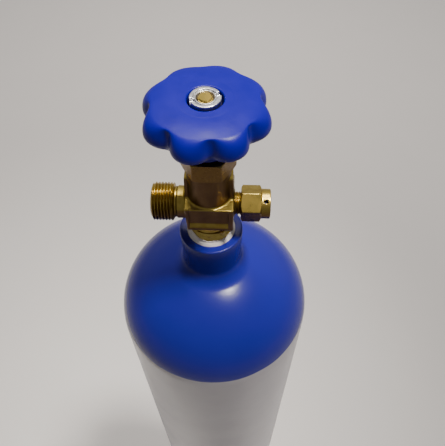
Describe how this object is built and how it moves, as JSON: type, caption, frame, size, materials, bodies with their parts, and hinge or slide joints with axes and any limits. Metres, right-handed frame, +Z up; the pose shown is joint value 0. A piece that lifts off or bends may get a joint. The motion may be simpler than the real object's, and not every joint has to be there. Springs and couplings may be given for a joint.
{
  "type": "gas cylinder with handwheel valve",
  "caption": "Slim steel high-pressure gas cylinder with a domed shoulder and a brass side-outlet valve turned by a lobed handwheel, with a burst-disc relief cap.",
  "frame": {"origin": "centre of the foot ring, on the floor", "axes": "+Z up the cylinder to the handwheel, -X out of the threaded outlet, -Y the front of the valve block"},
  "size_m": [0.1399, 0.14, 0.9685],
  "materials": {
    "painted_steel": "satin enamel over steel, blue above the paint line",
    "ptfe_tape": "matt",
    "forged_brass": "blasted forging",
    "machined_brass": "turned",
    "nitrile_rubber": "matt",
    "nylon": "natural",
    "wheel_plastic": "satin moulded",
    "zinc_steel": "zinc plated",
    "copper": "rolled copper"
  },
  "bodies": {
    "root": {"cylinder_shell": "painted_steel", "thread_tape": "ptfe_tape", "valve_body": "forged_brass", "gland_nut": "machined_brass", "relief_cap": "machined_brass", "burst_disc": "copper", "disc_gasket": "copper", "disc_press_ring": "machined_brass"},
    "spindle": {"stem": "machined_brass", "stem_o_ring": "nitrile_rubber", "thrust_washer": "nylon", "drive_tang": "machined_brass", "handwheel": "wheel_plastic", "handwheel_insert": "zinc_steel", "spring_seat_washer": "zinc_steel", "handwheel_spring": "zinc_steel", "handwheel_nut": "zinc_steel"},
    "plug": {"valve_plug": "machined_brass", "plug_seat_pad": "nylon"}
  },
  "joints": [
    {"name": "handwheel_turn", "type": "hinge", "parent": "root", "child": "spindle", "pos_m": [0, 0, 0.95], "axis": [0, 0, 1], "range_deg": [0, 630]},
    {"name": "plug_lift", "type": "slide", "parent": "spindle", "child": "plug", "axis": [0, 0, 1], "range_m": [0, 0.00351]}
  ],
  "couplings": [
    {"joint": "plug_lift", "follows": "handwheel_turn", "m_per_rad": 0.00031831}
  ]
}
